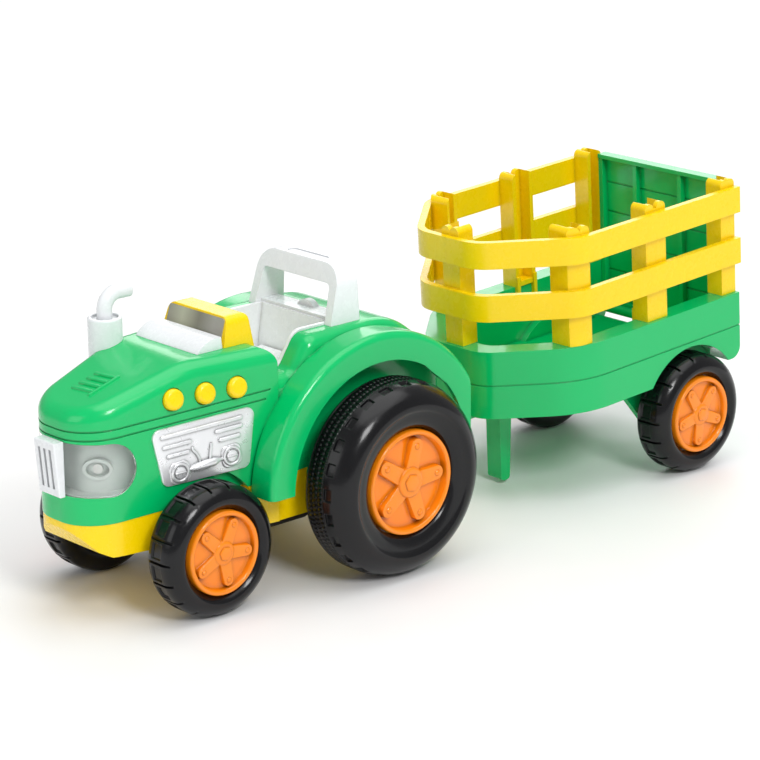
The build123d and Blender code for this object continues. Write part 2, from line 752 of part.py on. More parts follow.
def hub(radius, inner, face, dish):
    """A wheel disc: rim ring, dish, five raised spokes, centre boss and hexagon nut."""
    dish_y = face - dish
    ring = turned(
        outline((radius - 2.2, inner + 2), (radius, inner + 2), (radius, face - 0.8), (radius - 0.8, face), (radius - 2.2, face))
    )
    web = turned(outline((0, dish_y - 2.2), (radius - 1.0, dish_y - 2.2), (radius - 1.0, dish_y), (0, dish_y)))
    sleeve = turned(outline((AXLE_R, inner + 1), (5, inner + 1), (5, dish_y), (0, dish_y), (0, dish_y - 1.5), (AXLE_R, dish_y - 1.5)))
    boss = turned(outline((0, dish_y - 1), (radius * 0.30, dish_y - 1), (radius * 0.27, face - 1.0), (0, face - 1.0)))
    nut_plane = Plane.XZ.offset(-(face - 1.0))
    nut = extrude(nut_plane * RegularPolygon(radius * 0.18, 6), amount=-1.0)
    disc = ring + web + sleeve + boss + nut
    spoke_face = outline((radius * 0.2, -3.2), (radius * 0.9, -2.0), (radius * 0.9, 2.0), (radius * 0.2, 3.2))
    spoke = extrude(Plane.XZ.offset(-(dish_y + 1.3)) * spoke_face, amount=1.8)
    rivet = extrude(Plane.XZ.offset(-(dish_y + 2.0)) * (Pos(radius * 0.75, 0) * Circle(1.2)), amount=1.5)
    for step in range(SPOKES):
        disc += (spoke + rivet).rotate(Axis.Y, 360 / SPOKES * step + 15)
    return disc - turned(outline((0, inner - 5), (AXLE_R, inner - 5), (AXLE_R, dish_y - 1.5), (0, dish_y - 1.5)))


def keep_wheels(name, axle_x, radius, bore, inner, outer, shoulder, lugs, lug_depth, dish):
    """Both wheels of an axle and the axle itself. The tyre is pressed onto the hub."""
    face = outer - 1.2
    rubber = tyre(radius, bore, inner, outer, shoulder, lugs, lug_depth)
    disc = hub(bore, inner, face, dish)
    for side, word in ((1, "left"), (-1, "right")):
        keep(f"{name}_tyre_{word}", wheel_place(rubber, axle_x, radius, side))
        keep(f"{name}_hub_{word}", wheel_place(disc, axle_x, radius, side))
    end = face - dish - 1.5
    keep(f"{name}_axle", rod(axle_x, radius, AXLE_R, -end, end))


# ---------------------------------------------------------------- trailer


def tub_plan(grow=0.0, rear_x=TUB_REAR_X, shoulder_r=TUB_SHOULDER_R):
    """Top view of the trailer: square tail, chamfered front, rounded corners."""
    front = TUB_FRONT_X + grow
    slant = math.atan2(TUB_HALF - TUB_FRONT_HALF, TUB_FRONT_X - TUB_SHOULDER_X)
    shift = grow * math.tan((math.pi / 2 - slant) / 2)
    side_shift = grow * math.tan(slant / 2)
    front_half = TUB_FRONT_HALF + shift
    half = TUB_HALF + grow
    shoulder = TUB_SHOULDER_X + side_shift
    face = outline(
        (front, -front_half), (front, front_half), (shoulder, half), (rear_x, half), (rear_x, -half), (shoulder, -half)
    )
    for side in (1, -1):
        face = soften(face, front, front_half * side, TUB_FRONT_R + grow * 0.6)
        face = soften(face, shoulder, half * side, shoulder_r + grow * 0.6)
    return face


def trailer_tub():
    """Green trailer body: hollow skirt, flat rim ledge, deep bed, open at the back."""
    tub = upward(tub_plan(), TUB_BOTTOM_Z, TUB_RIM_Z)
    low_rear = tub.edges().filter_by(Axis.Y).sort_by(Axis.X)[:2].sort_by(Axis.Z)[0]
    tub = fillet(low_rear, 7.0)
    bed = upward(tub_plan(-RIM_W, TUB_REAR_X + RIM_W), TUB_FLOOR_Z, 120)
    doorway = GATE_HALF + 0.3
    bed += block(TUB_REAR_X - 5, TUB_REAR_X + RIM_W + 1, -doorway, doorway, TUB_FLOOR_Z, 120)
    bed += rod(GATE_PIN_X, GATE_PIN_Z, GATE_SWING_R, -doorway, doorway)
    skirt = upward(tub_plan(-WALL, TUB_REAR_X + WALL), 40, TUB_RIM_Z - WALL)
    skirt -= upward(tub_plan(-RIM_W + WALL, TUB_REAR_X + RIM_W - WALL), TUB_FLOOR_Z - 2.5, 120)
    skirt -= block(TUB_REAR_X, TUB_REAR_X + RIM_W + 2, -GATE_HALF - 4, GATE_HALF + 4, 40, 66)
    skirt -= both_sides(block(TUB_REAR_X, TUB_REAR_X + RIM_W, GATE_HALF, GATE_HALF + 2.5, 40, 120))
    tub -= bed
    tub -= skirt
    wheel_z = SMALL_TYRE_R
    housing = rod(TRAILER_AXLE_X, wheel_z, TUB_ARCH_R + WALL, TRAILER_TYRE_INNER_Y - 3.5, TUB_HALF - WALL)
    housing &= block(-300, -100, 0, 100, TUB_BOTTOM_Z, 120)
    space = rod(TRAILER_AXLE_X, wheel_z, TUB_ARCH_R, TRAILER_TYRE_INNER_Y - 1.5, TUB_HALF + 5)
    tub += both_sides(housing)
    tub -= both_sides(space)
    belt = upward(tub_plan(2.0, TUB_REAR_X - 2), TUB_BELT_Z, TUB_BELT_Z + 0.8)
    belt -= upward(tub_plan(-0.4, TUB_REAR_X + 0.4), TUB_BELT_Z - 1, TUB_BELT_Z + 2)
    tub -= belt
    plate = outline(
        (-190, TUB_FLOOR_Z - 1), (-214, 30), (-226, 25.5), (-245, 25.5), (-251, 30), (-262, TUB_FLOOR_Z - 1)
    )
    bracket = across(plate, 38.5, 42.5) + rod(TRAILER_AXLE_X, SMALL_TYRE_R, 6.5, 36, 46.2)
    tub += both_sides(bracket)
    tub -= rod(TRAILER_AXLE_X, SMALL_TYRE_R, AXLE_BORE_R, -60, 60)
    tub -= both_sides(rod(GATE_PIN_X, GATE_PIN_Z, 1.5, GATE_HALF, GATE_HALF + 9))
    return tub


def drawbar():
    """Green tongue with the hitch eye, and the stand leg, screwed under the bed."""
    under = TUB_FLOOR_Z - 2.5
    bar = block(-165, -112, -12, 12, under - 3, under)
    bar += block(-116, -112, -7, 7, 52.5, under)
    bar += block(-113, EYE_X, -7, 7, 52.5, 56.8)
    bar += peg(EYE_X, 0, 8.5, 52.5, 56.8)
    bar -= peg(EYE_X, 0, HITCH_PIN_R + 0.6, 40, 70)
    for x in DRAWBAR_SCREW_XS:
        bar -= peg(x, 0, SCREW_R, 50, 70)
    leg = outline((-136, under - 1), (-135.3, 8), (-142, 8), (-146, under - 1))
    leg = soften(soften(leg, -135.3, 8, 2.6), -142, 8, 2.6)
    return bar + across(leg, -5.5, 5.5)


def trailer_screws():
    group = Part()
    for x in DRAWBAR_SCREW_XS:
        group += peg(x, 0, 2.7, TUB_FLOOR_Z - 7.0, TUB_FLOOR_Z - 5.5)
        group += peg(x, 0, SCREW_R, TUB_FLOOR_Z - 6.0, TUB_FLOOR_Z - 2.5)
    return group


def band(out, inner, z_low, z_high, rear_x):
    """A wall that follows the trailer outline between two offsets."""
    solid = upward(tub_plan(out, rear_x, FENCE_SHOULDER_R), z_low, z_high)
    return solid - upward(tub_plan(inner, rear_x - 20, FENCE_SHOULDER_R), z_low - 1, z_high + 1)


def lobed(low, high):
    """Side view of a post between two limits: straight, with two round lobes on top."""
    lobe_z = POST_TOP_Z - LOBE_R
    face = Pos((low + high) / 2, (TUB_RIM_Z + lobe_z) / 2) * Rectangle(high - low, lobe_z - TUB_RIM_Z)
    for middle in (low + LOBE_R, high - LOBE_R):
        face += Pos(middle, lobe_z) * Circle(LOBE_R)
    return face


def fence():
    """Left half of the yellow fence: two rails outside channel posts with lobed tops."""
    rails = band(RAIL_OUT, POST_OUT, LOW_RAIL_Z, LOW_RAIL_Z + RAIL_H, RAIL_END_X)
    rails += band(RAIL_OUT, POST_OUT, HIGH_RAIL_Z, HIGH_RAIL_Z + RAIL_H, RAIL_END_X)
    ring = band(POST_OUT, POST_IN, TUB_RIM_Z, POST_TOP_Z, RAIL_END_X)
    channel = band(POST_OUT - 3.0, POST_IN - 1, TUB_RIM_Z + 3, POST_TOP_Z + 9, RAIL_END_X)
    half = rails
    for x_low, x_high in FENCE_POSTS:
        post = ring & across(lobed(x_low, x_high), 40, 70)
        half += post - (channel & block(x_low + 2.6, x_high - 2.6, 0, 70, 0, 200))
    front = ring & along(lobed(-FRONT_POST_HALF, FRONT_POST_HALF), -130, -90)
    half += front - (channel & block(-130, -90, 2.6 - FRONT_POST_HALF, FRONT_POST_HALF - 2.6, 0, 200))
    for x in CLIP_XS:
        half += block(x - 1.2, x + 1.2, 45.4, 47.9, 88, TUB_RIM_Z + 6)
    return half & block(-300, 0, 0, 80, 0, 200)


def tailgate():
    """Green drop gate: skin, top flange, upright ribs and plank lines, hinged at its foot."""
    gate = block(GATE_OUTER_X, GATE_OUTER_X + 2.4, -GATE_HALF, GATE_HALF, GATE_PIN_Z, GATE_TOP_Z)
    inner_x = GATE_OUTER_X + 6.0
    gate += block(GATE_OUTER_X, inner_x + 0.6, -GATE_HALF, GATE_HALF, GATE_TOP_Z - 2.4, GATE_TOP_Z)
    for y in (-GATE_HALF + 1.5, -17.5, 17.5, GATE_HALF - 1.5):
        gate += block(GATE_OUTER_X + 1, inner_x, y - 1.5, y + 1.5, GATE_PIN_Z + 5, GATE_TOP_Z - 1)
    for z in (90.0, 108.0, 126.0, 144.0):
        gate -= block(GATE_OUTER_X + 1.8, GATE_OUTER_X + 2.6, 3 - GATE_HALF, GATE_HALF - 3, z - 0.5, z + 0.5)
    knuckle = rod(GATE_PIN_X, GATE_PIN_Z, 3.0, -GATE_HALF, GATE_HALF)
    gate += knuckle + block(GATE_OUTER_X, GATE_PIN_X, -GATE_HALF, GATE_HALF, GATE_PIN_Z - 2.0, GATE_PIN_Z + 5)
    return gate - both_sides(rod(GATE_PIN_X, GATE_PIN_Z, 1.55, GATE_HALF - 8, GATE_HALF + 5))


def gate_pins():
    return both_sides(rod(GATE_PIN_X, GATE_PIN_Z, 1.5, GATE_HALF - 7.5, GATE_HALF + 8.5))


def build_tractor():
    keep("body_shell", body_shell())
    keep("lower_chassis", lower_chassis())
    keep("battery_cover", battery_cover())
    keep("battery_screw", battery_screw())
    keep("cells", cells())
    keep("battery_contacts", battery_contacts())
    keep("circuit_board", circuit_board())
    keep("speaker", speaker())
    keep("switch_body", switch_body())
    keep("switch_knob", switch_knob())
    keep("chassis_screws", chassis_screws())
    keep("hitch_pin", hitch_pin())
    keep("headlamp_lens", headlamp_lens())
    keep("headlamp_reflector", headlamp_reflector())
    keep("headlamp_base", headlamp_base())
    keep("lamps", lamps())
    keep("grille", grille())
    panel = engine_panel()
    keep("engine_panel_left", panel)
    keep("engine_panel_right", mirrored(panel))
    for word, x in BUTTON_XS.items():
        keep(f"button_{word}", button(x))
    keep("button_pad", button_pad())
    keep("button_board", button_board())
    keep("exhaust", exhaust())
    keep("windscreen_cowl", windscreen_cowl())
    keep("dash_block", dash_block())
    keep("windscreen_label", windscreen_label())
    keep("seat", seat())
    keep("carry_handle", carry_handle())


def build_wheels():
    rear_dish = 5.0
    keep_wheels("rear", 0.0, REAR_TYRE_R, REAR_HUB_R, REAR_TYRE_INNER_Y, REAR_TYRE_OUTER_Y, 12.0, REAR_LUGS, 1.0, rear_dish)
    for name, x, inner in (("front", FRONT_AXLE_X, FRONT_TYRE_INNER_Y), ("trailer", TRAILER_AXLE_X, TRAILER_TYRE_INNER_Y)):
        keep_wheels(name, x, SMALL_TYRE_R, SMALL_HUB_R, inner, inner + SMALL_TYRE_W, 5.5, SMALL_LUGS, 1.3, 3.2)


def build_trailer():
    keep_tipped("trailer_tub", trailer_tub())
    keep_tipped("drawbar", drawbar())
    keep_tipped("trailer_screws", trailer_screws())
    left = fence()
    keep_tipped("fence_left", left)
    keep_tipped("fence_right", mirrored(left))
    keep_tipped("tailgate", tailgate())
    keep_tipped("gate_pins", gate_pins())


build_tractor()
build_wheels()
build_trailer()
for name, shape in parts.items():
    export_step(shape, f"parts/{name}.step")
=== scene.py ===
import json
import math

import bmesh
import bpy
from mathutils import Matrix, Vector


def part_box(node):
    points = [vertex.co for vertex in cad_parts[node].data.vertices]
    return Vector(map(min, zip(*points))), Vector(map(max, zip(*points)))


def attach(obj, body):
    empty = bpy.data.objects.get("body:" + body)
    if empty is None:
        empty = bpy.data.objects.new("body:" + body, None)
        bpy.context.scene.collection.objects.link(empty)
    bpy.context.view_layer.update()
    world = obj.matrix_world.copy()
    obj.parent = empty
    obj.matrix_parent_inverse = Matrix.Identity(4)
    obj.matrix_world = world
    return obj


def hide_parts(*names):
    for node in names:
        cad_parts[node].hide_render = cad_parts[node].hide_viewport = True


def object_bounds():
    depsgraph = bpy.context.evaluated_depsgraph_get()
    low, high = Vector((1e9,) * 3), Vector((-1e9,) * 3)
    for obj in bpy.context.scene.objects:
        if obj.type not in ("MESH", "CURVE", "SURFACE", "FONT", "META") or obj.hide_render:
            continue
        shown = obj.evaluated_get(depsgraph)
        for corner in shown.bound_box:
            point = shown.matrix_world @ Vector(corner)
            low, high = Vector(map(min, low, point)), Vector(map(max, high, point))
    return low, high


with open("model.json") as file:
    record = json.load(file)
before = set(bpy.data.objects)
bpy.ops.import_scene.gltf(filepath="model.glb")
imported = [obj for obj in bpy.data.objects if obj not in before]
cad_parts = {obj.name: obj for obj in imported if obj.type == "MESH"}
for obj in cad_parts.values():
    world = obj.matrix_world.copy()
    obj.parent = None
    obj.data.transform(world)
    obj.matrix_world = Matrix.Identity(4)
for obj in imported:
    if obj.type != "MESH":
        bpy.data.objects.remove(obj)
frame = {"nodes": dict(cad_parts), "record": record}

scene = bpy.context.scene
cad_low, cad_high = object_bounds()

MM = 0.001

# Camera: where it stands (m), how it is turned (degrees), and its lens and sensor (mm)
CAMERA_AT = (1.0315, 1.1418, 0.5462)
CAMERA_AZIMUTH = 137.98
CAMERA_ELEVATION = 16.9
CAMERA_ROLL = -0.5445
CAMERA_LENS = 140.69
CAMERA_SENSOR = 36.0

# Wheels: number of spokes, and the turn of the first spoke from upright, towards the tail
SPOKES = 5
FRONT_SPOKE_TURN = 26.0
REAR_SPOKE_TURN = 15.6
TRAILER_SPOKE_TURN = 40.0

# Bonnet: how far each side closes in towards the nose, and how steeply its top falls there
HOOD_TAPER = math.radians(9.05)
HOOD_SLOPE = math.atan(0.3)


# ---------------------------------------------------------------- node materials


# Places of the mix node's colour sockets
MIX_COLOR_INPUTS = (6, 7)
MIX_COLOR_OUTPUT = 2

# How straight the true normal lies along the rounded one on a sharp edge and on a flat face
SHARP_EDGE = 0.80
FLAT_FACE = 0.995

# How open the surroundings are in a deep groove and on an open face: where the painted shade is darkest
# and where it ends
DEEP_GROOVE = 0.35
OPEN_FACE = 0.95

# Noise scales of moulded plastic: larger is finer
DRIFT_SCALE = 9.0
RIPPLE_SCALE = 38.0
RUB_SCALE = 60.0
SCUFF_SCALE = 160.0
SPECK_SCALE = 900.0
GRAIN_SCALE = 1400.0

# How much the grain adds to the ripple, and how high the bump of both is (m)
GRAIN_SHARE = 0.05
BUMP_HEIGHT = 0.0004


class Nodes:
    """Builds one node material, with short calls for the nodes that every finish needs."""

    def __init__(self, name):
        self.material = bpy.data.materials.new(name)
        self.material.use_nodes = True
        self.tree = self.material.node_tree
        self.shader = self.tree.nodes["Principled BSDF"]
        self.coords = self.node("ShaderNodeTexCoord").outputs["Object"]

    def node(self, kind, **settings):
        made = self.tree.nodes.new(kind)
        for key, value in settings.items():
            if key in made.bl_rna.properties:
                setattr(made, key, value)
            else:
                made.inputs[key.replace("_", " ")].default_value = value
        return made

    def link(self, source, target):
        self.tree.links.new(source, target)

    def set(self, **values):
        for key, value in values.items():
            self.shader.inputs[key.replace("_", " ")].default_value = value

    def noise(self, scale, detail=4.0, roughness=0.55, stretch=None):
        made = self.node("ShaderNodeTexNoise", Scale=scale, Detail=detail, Roughness=roughness)
        source = self.coords
        if stretch:
            mapping = self.node("ShaderNodeMapping", Scale=stretch)
            self.link(source, mapping.inputs["Vector"])
            source = mapping.outputs["Vector"]
        self.link(source, made.inputs["Vector"])
        return made.outputs["Fac"]

    def span(self, value, low_in, high_in, low_out, high_out):
        made = self.node("ShaderNodeMapRange", clamp=True)
        limits = (low_in, high_in, low_out, high_out)
        for socket, limit in zip(("From Min", "From Max", "To Min", "To Max"), limits):
            made.inputs[socket].default_value = limit
        self.link(value, made.inputs["Value"])
        return made.outputs["Result"]

    def maths(self, operation, first, second):
        made = self.node("ShaderNodeMath", operation=operation)
        for socket, value in zip(made.inputs, (first, second)):
            if isinstance(value, (int, float)):
                socket.default_value = value
            else:
                self.link(value, socket)
        return made.outputs["Value"]

    def blend(self, factor, first, second):
        """Mixes two colours. The mix node has one set of sockets for each data type, found by place."""
        made = self.node("ShaderNodeMix", data_type="RGBA")
        self.link(factor, made.inputs["Factor"])
        for index, value in zip(MIX_COLOR_INPUTS, (first, second)):
            if isinstance(value, tuple):
                made.inputs[index].default_value = (*value, 1.0)
            else:
                self.link(value, made.inputs[index])
        return made.outputs[MIX_COLOR_OUTPUT]

    def edges(self, radius):
        """A mask that is 1 on sharp edges, from how far a rounded normal leans off the true one."""
        softened = self.node("ShaderNodeBevel", samples=4)
        softened.inputs["Radius"].default_value = radius
        true = self.node("ShaderNodeNewGeometry").outputs["Normal"]
        lean = self.node("ShaderNodeVectorMath", operation="DOT_PRODUCT")
        self.link(softened.outputs["Normal"], lean.inputs[0])
        self.link(true, lean.inputs[1])
        return self.span(lean.outputs["Value"], SHARP_EDGE, FLAT_FACE, 1.0, 0.0)

    def painted_crevice_shade(self, reach):
        """A painted-shade mask from ambient occlusion: 1 in the open, falling towards 0 in corners and
        grooves of the same piece.
        """
        cover = self.node("ShaderNodeAmbientOcclusion", samples=4, only_local=True)
        cover.inputs["Distance"].default_value = reach
        return self.span(cover.outputs["AO"], DEEP_GROOVE, OPEN_FACE, 0.0, 1.0)

    def surface(self, height, strength, distance, bevel):
        """Bump, distance high (m), over edges softened by a bevel of that radius (m)."""
        bump = self.node("ShaderNodeBump")
        bump.inputs["Strength"].default_value = strength
        bump.inputs["Distance"].default_value = distance
        self.link(height, bump.inputs["Height"])
        softened = self.node("ShaderNodeBevel", samples=6)
        softened.inputs["Radius"].default_value = bevel
        self.link(softened.outputs["Normal"], bump.inputs["Normal"])
        self.link(bump.outputs["Normal"], self.shader.inputs["Normal"])


def shade(color, factor):
    """A colour made darker or lighter by a factor."""
    return tuple(min(1.0, channel * factor) for channel in color)


def moulded(name, color, rough=0.22, coat=0.2, grain=0.1, bevel=0.5, worn=1.2, mottle=0.04, sheen=0.4,
            metallic=0.0, painted_groove_shade=0.6, painted_shade_reach=2.5):
    """Moulded plastic: slow colour drift, flow ripple, grain, scuffs, paler worn edges and painted
    shade in grooves and corners.

    bevel and the reach of the painted shade are in millimetres. worn scales the colour of rubbed edges,
    and the groove factor scales the colour of the painted shade.
    """
    m = Nodes(name)
    drift = m.span(m.noise(DRIFT_SCALE, 3.0), 0.3, 0.7, 0.0, 1.0)
    body = m.blend(drift, shade(color, 1 - mottle), shade(color, 1 + mottle))
    speck = m.span(m.noise(SPECK_SCALE, 2.0), 0.66, 0.85, 0.0, 0.25)
    body = m.blend(speck, body, shade(color, 0.86))
    patches = m.span(m.noise(RUB_SCALE), 0.35, 0.7, 0.1, 0.5)
    rub = m.maths("MULTIPLY", m.edges(bevel * 2 * MM), patches)
    body = m.blend(rub, body, tuple(min(1.0, c * worn + 0.02) for c in color))
    # Painted shade: the colour darkens in grooves and corners, by ambient occlusion within the piece
    body = m.blend(m.painted_crevice_shade(painted_shade_reach * MM), shade(color, painted_groove_shade), body)
    m.link(body, m.shader.inputs["Base Color"])
    scuff = m.noise(SCUFF_SCALE, 6.0, 0.7)
    m.link(m.span(scuff, 0.3, 0.75, rough * 0.8, rough * 1.35), m.shader.inputs["Roughness"])
    fine_grain = m.maths("MULTIPLY", m.noise(GRAIN_SCALE, 2.0), GRAIN_SHARE)
    ripple = m.maths("ADD", m.noise(RIPPLE_SCALE, 2.0), fine_grain)
    m.surface(ripple, grain, BUMP_HEIGHT, bevel * MM)
    m.set(Coat_Weight=coat, Coat_Roughness=0.05, Specular_IOR_Level=sheen, Metallic=metallic)
    return m.material


def clear_lens():
    """Clear moulded band with faint flow marks and a little haze."""
    m = Nodes("lens_clear")
    haze = m.span(m.noise(30.0, 3.0), 0.3, 0.75, 0.01, 0.07)
    m.link(haze, m.shader.inputs["Roughness"])
    flow = m.span(m.noise(20.0), 0.3, 0.7, 0.0, 1.0)
    m.link(m.blend(flow, (0.93, 0.96, 0.96), (0.99, 0.99, 0.98)), m.shader.inputs["Base Color"])
    m.surface(m.noise(60.0, 2.0), 0.15, BUMP_HEIGHT, 0.0004)
    m.set(Transmission_Weight=0.96, IOR=1.25, Specular_IOR_Level=0.6)
    return m.material


# Colours of the windscreen film from right to left: (share of its width, colour)
FILM_COLORS = (
    (0.0, (0.22, 0.21, 0.18)),
    (0.4, (0.44, 0.45, 0.33)),
    (0.7, (0.20, 0.19, 0.14)),
    (1.0, (0.32, 0.31, 0.27)),
)
FILM_WOBBLE = 0.012


def tinted_label():
    """Shiny film that fades across its width between dark grey and a pale olive sheen."""
    m = Nodes("label_film")
    low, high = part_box("windscreen_label")
    split = m.node("ShaderNodeSeparateXYZ")
    m.link(m.coords, split.inputs["Vector"])
    wobble = m.maths("MULTIPLY", m.noise(25.0, 2.0), FILM_WOBBLE)
    across = m.maths("ADD", split.outputs["Y"], wobble)
    fade = m.span(across, low.y, high.y, 0.0, 1.0)
    ramp = m.node("ShaderNodeValToRGB")
    while len(ramp.color_ramp.elements) < len(FILM_COLORS):
        ramp.color_ramp.elements.new(0.5)
    for element, (place, color) in zip(ramp.color_ramp.elements, FILM_COLORS):
        element.position = place
        element.color = (*color, 1.0)
    m.link(fade, ramp.inputs["Fac"])
    m.link(ramp.outputs["Color"], m.shader.inputs["Base Color"])
    m.link(m.span(m.noise(300.0, 4.0), 0.3, 0.8, 0.10, 0.24), m.shader.inputs["Roughness"])
    m.surface(m.noise(80.0, 2.0), 0.08, 0.0003, 0.0003)
    m.set(Coat_Weight=0.6, Coat_Roughness=0.05)
    return m.material


def metal(name, color, rough):
    """Plated steel with drawn lines and small stains."""
    m = Nodes(name)
    stain = m.span(m.noise(120.0, 5.0, 0.7), 0.35, 0.75, 0.0, 1.0)
    m.link(m.blend(stain, color, shade(color, 0.7)), m.shader.inputs["Base Color"])
    lines = m.noise(900.0, 3.0, stretch=(1.0, 0.05, 1.0))
    m.link(m.span(lines, 0.3, 0.7, rough * 0.7, rough * 1.5), m.shader.inputs["Roughness"])
    m.surface(lines, 0.2, 0.0002, 0.0003)
    m.set(Metallic=1.0)
    return m.material


GREEN = (0.0, 0.50, 0.135)
YELLOW = (0.98, 0.67, 0.0)
WHITE = (0.83, 0.85, 0.87)
ORANGE = (0.93, 0.25, 0.004)
BLACK = (0.004, 0.004, 0.005)
CREAM = (0.74, 0.80, 0.76)
SILVER = (0.86, 0.87, 0.89)

finish = {
    "green_plastic": moulded("green_plastic", GREEN, rough=0.2),
    "yellow_plastic": moulded(
        "yellow_plastic", YELLOW, rough=0.26, coat=0.12, worn=1.05, mottle=0.03, painted_groove_shade=0.72),
    "white_plastic": moulded(
        "white_plastic", WHITE, rough=0.26, coat=0.15, worn=1.05, mottle=0.02, painted_groove_shade=0.7),
    # The hubs' dish and spokes get a deeper, wider painted shade
    "orange_plastic": moulded(
        "orange_plastic", ORANGE, rough=0.18, coat=0.3, worn=1.1, painted_groove_shade=0.45, painted_shade_reach=3.5),
    "tyre_black": moulded(
        "tyre_black", BLACK, rough=0.2, coat=0.1, worn=2.0, mottle=0.15, sheen=0.3),
    "cream_plastic": moulded("cream_plastic", CREAM, rough=0.35, coat=0.0, mottle=0.06),
    # The dark outlines round the plate's relief are painted shade
    "silver_plate": moulded(
        "silver_plate", SILVER, rough=0.3, metallic=0.6, painted_groove_shade=0.08, painted_shade_reach=1.6),
    "dark_plastic": moulded("dark_plastic", (0.02, 0.02, 0.02), rough=0.5, coat=0.0),
    "pad_rubber": moulded("pad_rubber", (0.35, 0.35, 0.34), rough=0.6, coat=0.0),
    "board_green": moulded("board_green", (0.02, 0.16, 0.07), rough=0.35, coat=0.2),
    "cell_jacket": moulded("cell_jacket", (0.06, 0.06, 0.08), rough=0.3, coat=0.3),
    "lamp_white": moulded("lamp_white", (0.85, 0.85, 0.82), rough=0.2, coat=0.3, mottle=0.03),
    "lens_clear": clear_lens(),
    "label_film": tinted_label(),
    "steel": metal("steel", (0.56, 0.56, 0.58), 0.3),
    "contact_metal": metal("contact_metal", (0.72, 0.70, 0.62), 0.25),
}

record = frame["record"]
slot_of = {row["node"]: row["material_slot"] for row in record["subparts"]}
body_of = {node: body for body, nodes in record["behaviour"]["bodies"].items() for node in nodes}
for node, obj in frame["nodes"].items():
    obj.data.materials.clear()
    obj.data.materials.append(finish[slot_of[node]])


# ---------------------------------------------------------------- mesh building


SAME_POINT = 1e-6


class Shape:
    """Collects vertices and faces, in millimetres, of parts that are added at their places."""

    def __init__(self):
        self.verts = []
        self.faces = []

    def add(self, verts, faces, place=None):
        start = len(self.verts)
        self.verts += [place @ Vector(v) if place else Vector(v) for v in verts]
        self.faces += [tuple(start + index for index in face) for face in faces]


def finish_piece(name, shape, place, body, slot, stands_for=(), sharp=40.0):
    """Makes the object, in metres, sets it on its body and hides the CAD nodes it stands for. Edges
    over sharp degrees stay sharp.
    """
    mesh = bpy.data.meshes.new(name)
    mesh.from_pydata([place @ (v * MM) for v in shape.verts], [], shape.faces)
    work = bmesh.new()
    work.from_mesh(mesh)
    bmesh.ops.remove_doubles(work, verts=work.verts, dist=SAME_POINT)
    bmesh.ops.recalc_face_normals(work, faces=work.faces)
    work.to_mesh(mesh)
    work.free()
    for face in mesh.polygons:
        face.use_smooth = True
    mesh.set_sharp_from_angle(angle=math.radians(sharp))
    mesh.materials.append(finish[slot])
    obj = bpy.data.objects.new(name, mesh)
    scene.collection.objects.link(obj)
    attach(obj, body)
    if stands_for:
        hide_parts(*stands_for)


def ring_faces(rings, count, closed):
    """Faces of a form turned full circle, from rings of count points each. closed joins their ends."""
    faces = []
    last = count if closed else count - 1
    for ring in range(rings):
        here = ring * count
        there = (ring + 1) % rings * count
        for index in range(last):
            after = (index + 1) % count
            faces.append((here + index, there + index, there + after, here + after))
    return faces


def lathe(profile, steps, dent=None, closed=False):
    """Turns a list of (radius, w) round the w axis. dent(step, index) is how far a point sinks."""
    verts = []
    for step in range(steps):
        angle = 2 * math.pi * step / steps
        for index, (radius, w) in enumerate(profile):
            sunk = radius - (dent(step, index) if dent else 0.0)
            verts.append((sunk * math.cos(angle), sunk * math.sin(angle), w))
    return verts, ring_faces(steps, len(profile), closed)


# Keeps the inset of a sharp corner from running far inside the outline
LEAST_STRETCH = 0.4


def inset_outline(points, amount):
    """Moves each corner of an anticlockwise outline inwards by amount."""
    moved = []
    for index, point in enumerate(points):
        before = Vector(points[index - 1])
        after = Vector(points[(index + 1) % len(points)])
        here = Vector(point)
        first = (here - before).normalized()
        second = (after - here).normalized()
        normal = Vector((-first.y - second.y, first.x + second.x))
        inwards = Vector((-first.y, first.x))
        normal = normal.normalized() if normal.length > 1e-9 else inwards
        stretch = max(LEAST_STRETCH, normal.dot(inwards))
        moved.append(here + normal * (amount / stretch))
    return moved


def pad(points, layers):
    """A raised pad: one ring of the outline for each (inset, height), closed on top."""
    verts = []
    faces = []
    count = len(points)
    for inset, height in layers:
        verts += [(p.x, p.y, height) for p in inset_outline(points, inset)]
    for layer in range(len(layers) - 1):
        low = layer * count
        for index in range(count):
            after = (index + 1) % count
            faces.append((low + index, low + after, low + count + after, low + count + index))
    top = (len(layers) - 1) * count
    faces.append(tuple(range(top, top + count)))
    return verts, faces


def rounded(points, radius, steps=6):
    """An anticlockwise outline with each corner rounded."""
    result = []
    for index, point in enumerate(points):
        here = Vector(point)
        back = (Vector(points[index - 1]) - here).normalized()
        ahead = (Vector(points[(index + 1) % len(points)]) - here).normalized()
        half = back.angle(ahead) / 2
        reach = radius / math.tan(half)
        centre = here + (back + ahead).normalized() * (radius / math.sin(half))
        start = here + back * reach - centre
        end = here + ahead * reach - centre
        for step in range(steps + 1):
            share = step / steps
            arm = (start * (1 - share) + end * share).normalized() * radius
            result.append(tuple(centre + arm))
    return result


def arc(start, end, steps):
    """Evenly spaced angles between two, given in degrees."""
    return [math.radians(start + (end - start) * step / steps) for step in range(steps + 1)]


def bar_outline(length, width, steps=8):
    """A straight bar with round ends, along the first axis."""
    half = (length - width) / 2
    radius = width / 2
    right = [(half + radius * math.cos(a), radius * math.sin(a)) for a in arc(-90, 90, steps)]
    left = [(-half + radius * math.cos(a), radius * math.sin(a)) for a in arc(90, 270, steps)]
    return right + left


def at(x, y, z=0.0, turn=0.0):
    """A place on the local frame's floor, turned by some degrees."""
    return Matrix.Translation((x, y, z)) @ Matrix.Rotation(math.radians(turn), 4, "Z")


